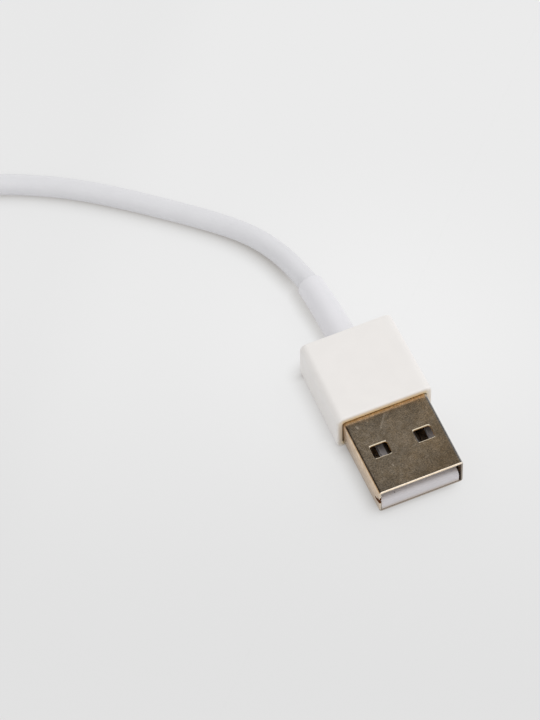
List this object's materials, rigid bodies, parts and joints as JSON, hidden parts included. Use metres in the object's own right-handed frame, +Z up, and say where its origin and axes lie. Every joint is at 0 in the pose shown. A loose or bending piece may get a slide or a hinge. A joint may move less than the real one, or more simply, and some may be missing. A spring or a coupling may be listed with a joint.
{
  "type": "phone charging cable",
  "caption": "Flat rectangular plug in a moulded grip, joined by a thin round cord to a slim reversible tab plug; carries charge and data between a phone and a charger.",
  "frame": {"origin": "on the table, under the middle of the first plug with its grip and sleeve", "axes": "+X across the plug, +Y from the plug's tip towards its cord, +Z up from the table"},
  "size_m": [0.0939, 0.0788, 0.0086],
  "materials": {
    "plated_sheet": "warm-tinted plating, satin, faintly mottled, with bright cut edges",
    "tongue_white": "semi-gloss moulded plastic",
    "contact_gold": "gold-plated strip",
    "solder_tin": "bright solder",
    "wire_red": "matte wire insulation",
    "wire_white": "matte wire insulation",
    "wire_green": "matte wire insulation",
    "wire_black": "matte wire insulation",
    "inner_resin": "translucent-looking low-pressure moulding",
    "can_tin": "tinned sheet",
    "grip_white": "warm white, satin to semi-gloss moulding",
    "sleeve_white": "cool white, soft satin",
    "cord_white": "white, soft satin jacket",
    "tie_white": "matte strap",
    "tab_steel": "fine blasted steel",
    "board_green": "solder-mask lacquer",
    "chip_black": "matte moulded package",
    "capacitor_tan": "matte ceramic"
  },
  "bodies": {
    "root": {"plug_shell": "plated_sheet", "tongue": "tongue_white", "contact_power": "contact_gold", "contact_data_minus": "contact_gold", "contact_data_plus": "contact_gold", "contact_ground": "contact_gold", "solder_joints": "solder_tin", "wire_red": "wire_red", "wire_white": "wire_white", "wire_green": "wire_green", "wire_black": "wire_black", "inner_mould": "inner_resin", "shield_upper": "can_tin", "shield_lower": "can_tin", "crimp_band": "can_tin", "grip_mould": "grip_white", "strain_relief": "sleeve_white", "cord": "cord_white", "cord_coil": "cord_white", "cord_tail": "cord_white", "coil_tie": "tie_white", "slim_frame": "tab_steel", "slim_insert": "tongue_white", "slim_contacts_top": "contact_gold", "slim_contacts_bottom": "contact_gold", "slim_board": "board_green", "slim_chip": "chip_black", "slim_capacitors": "capacitor_tan", "slim_solder_joints": "solder_tin", "slim_wire_red": "wire_red", "slim_wire_white": "wire_white", "slim_wire_green": "wire_green", "slim_wire_black": "wire_black", "slim_inner_mould": "inner_resin", "slim_shield_upper": "can_tin", "slim_shield_lower": "can_tin", "slim_crimp_band": "can_tin", "slim_grip": "grip_white", "slim_strain_relief": "sleeve_white"}
  },
  "joints": []
}
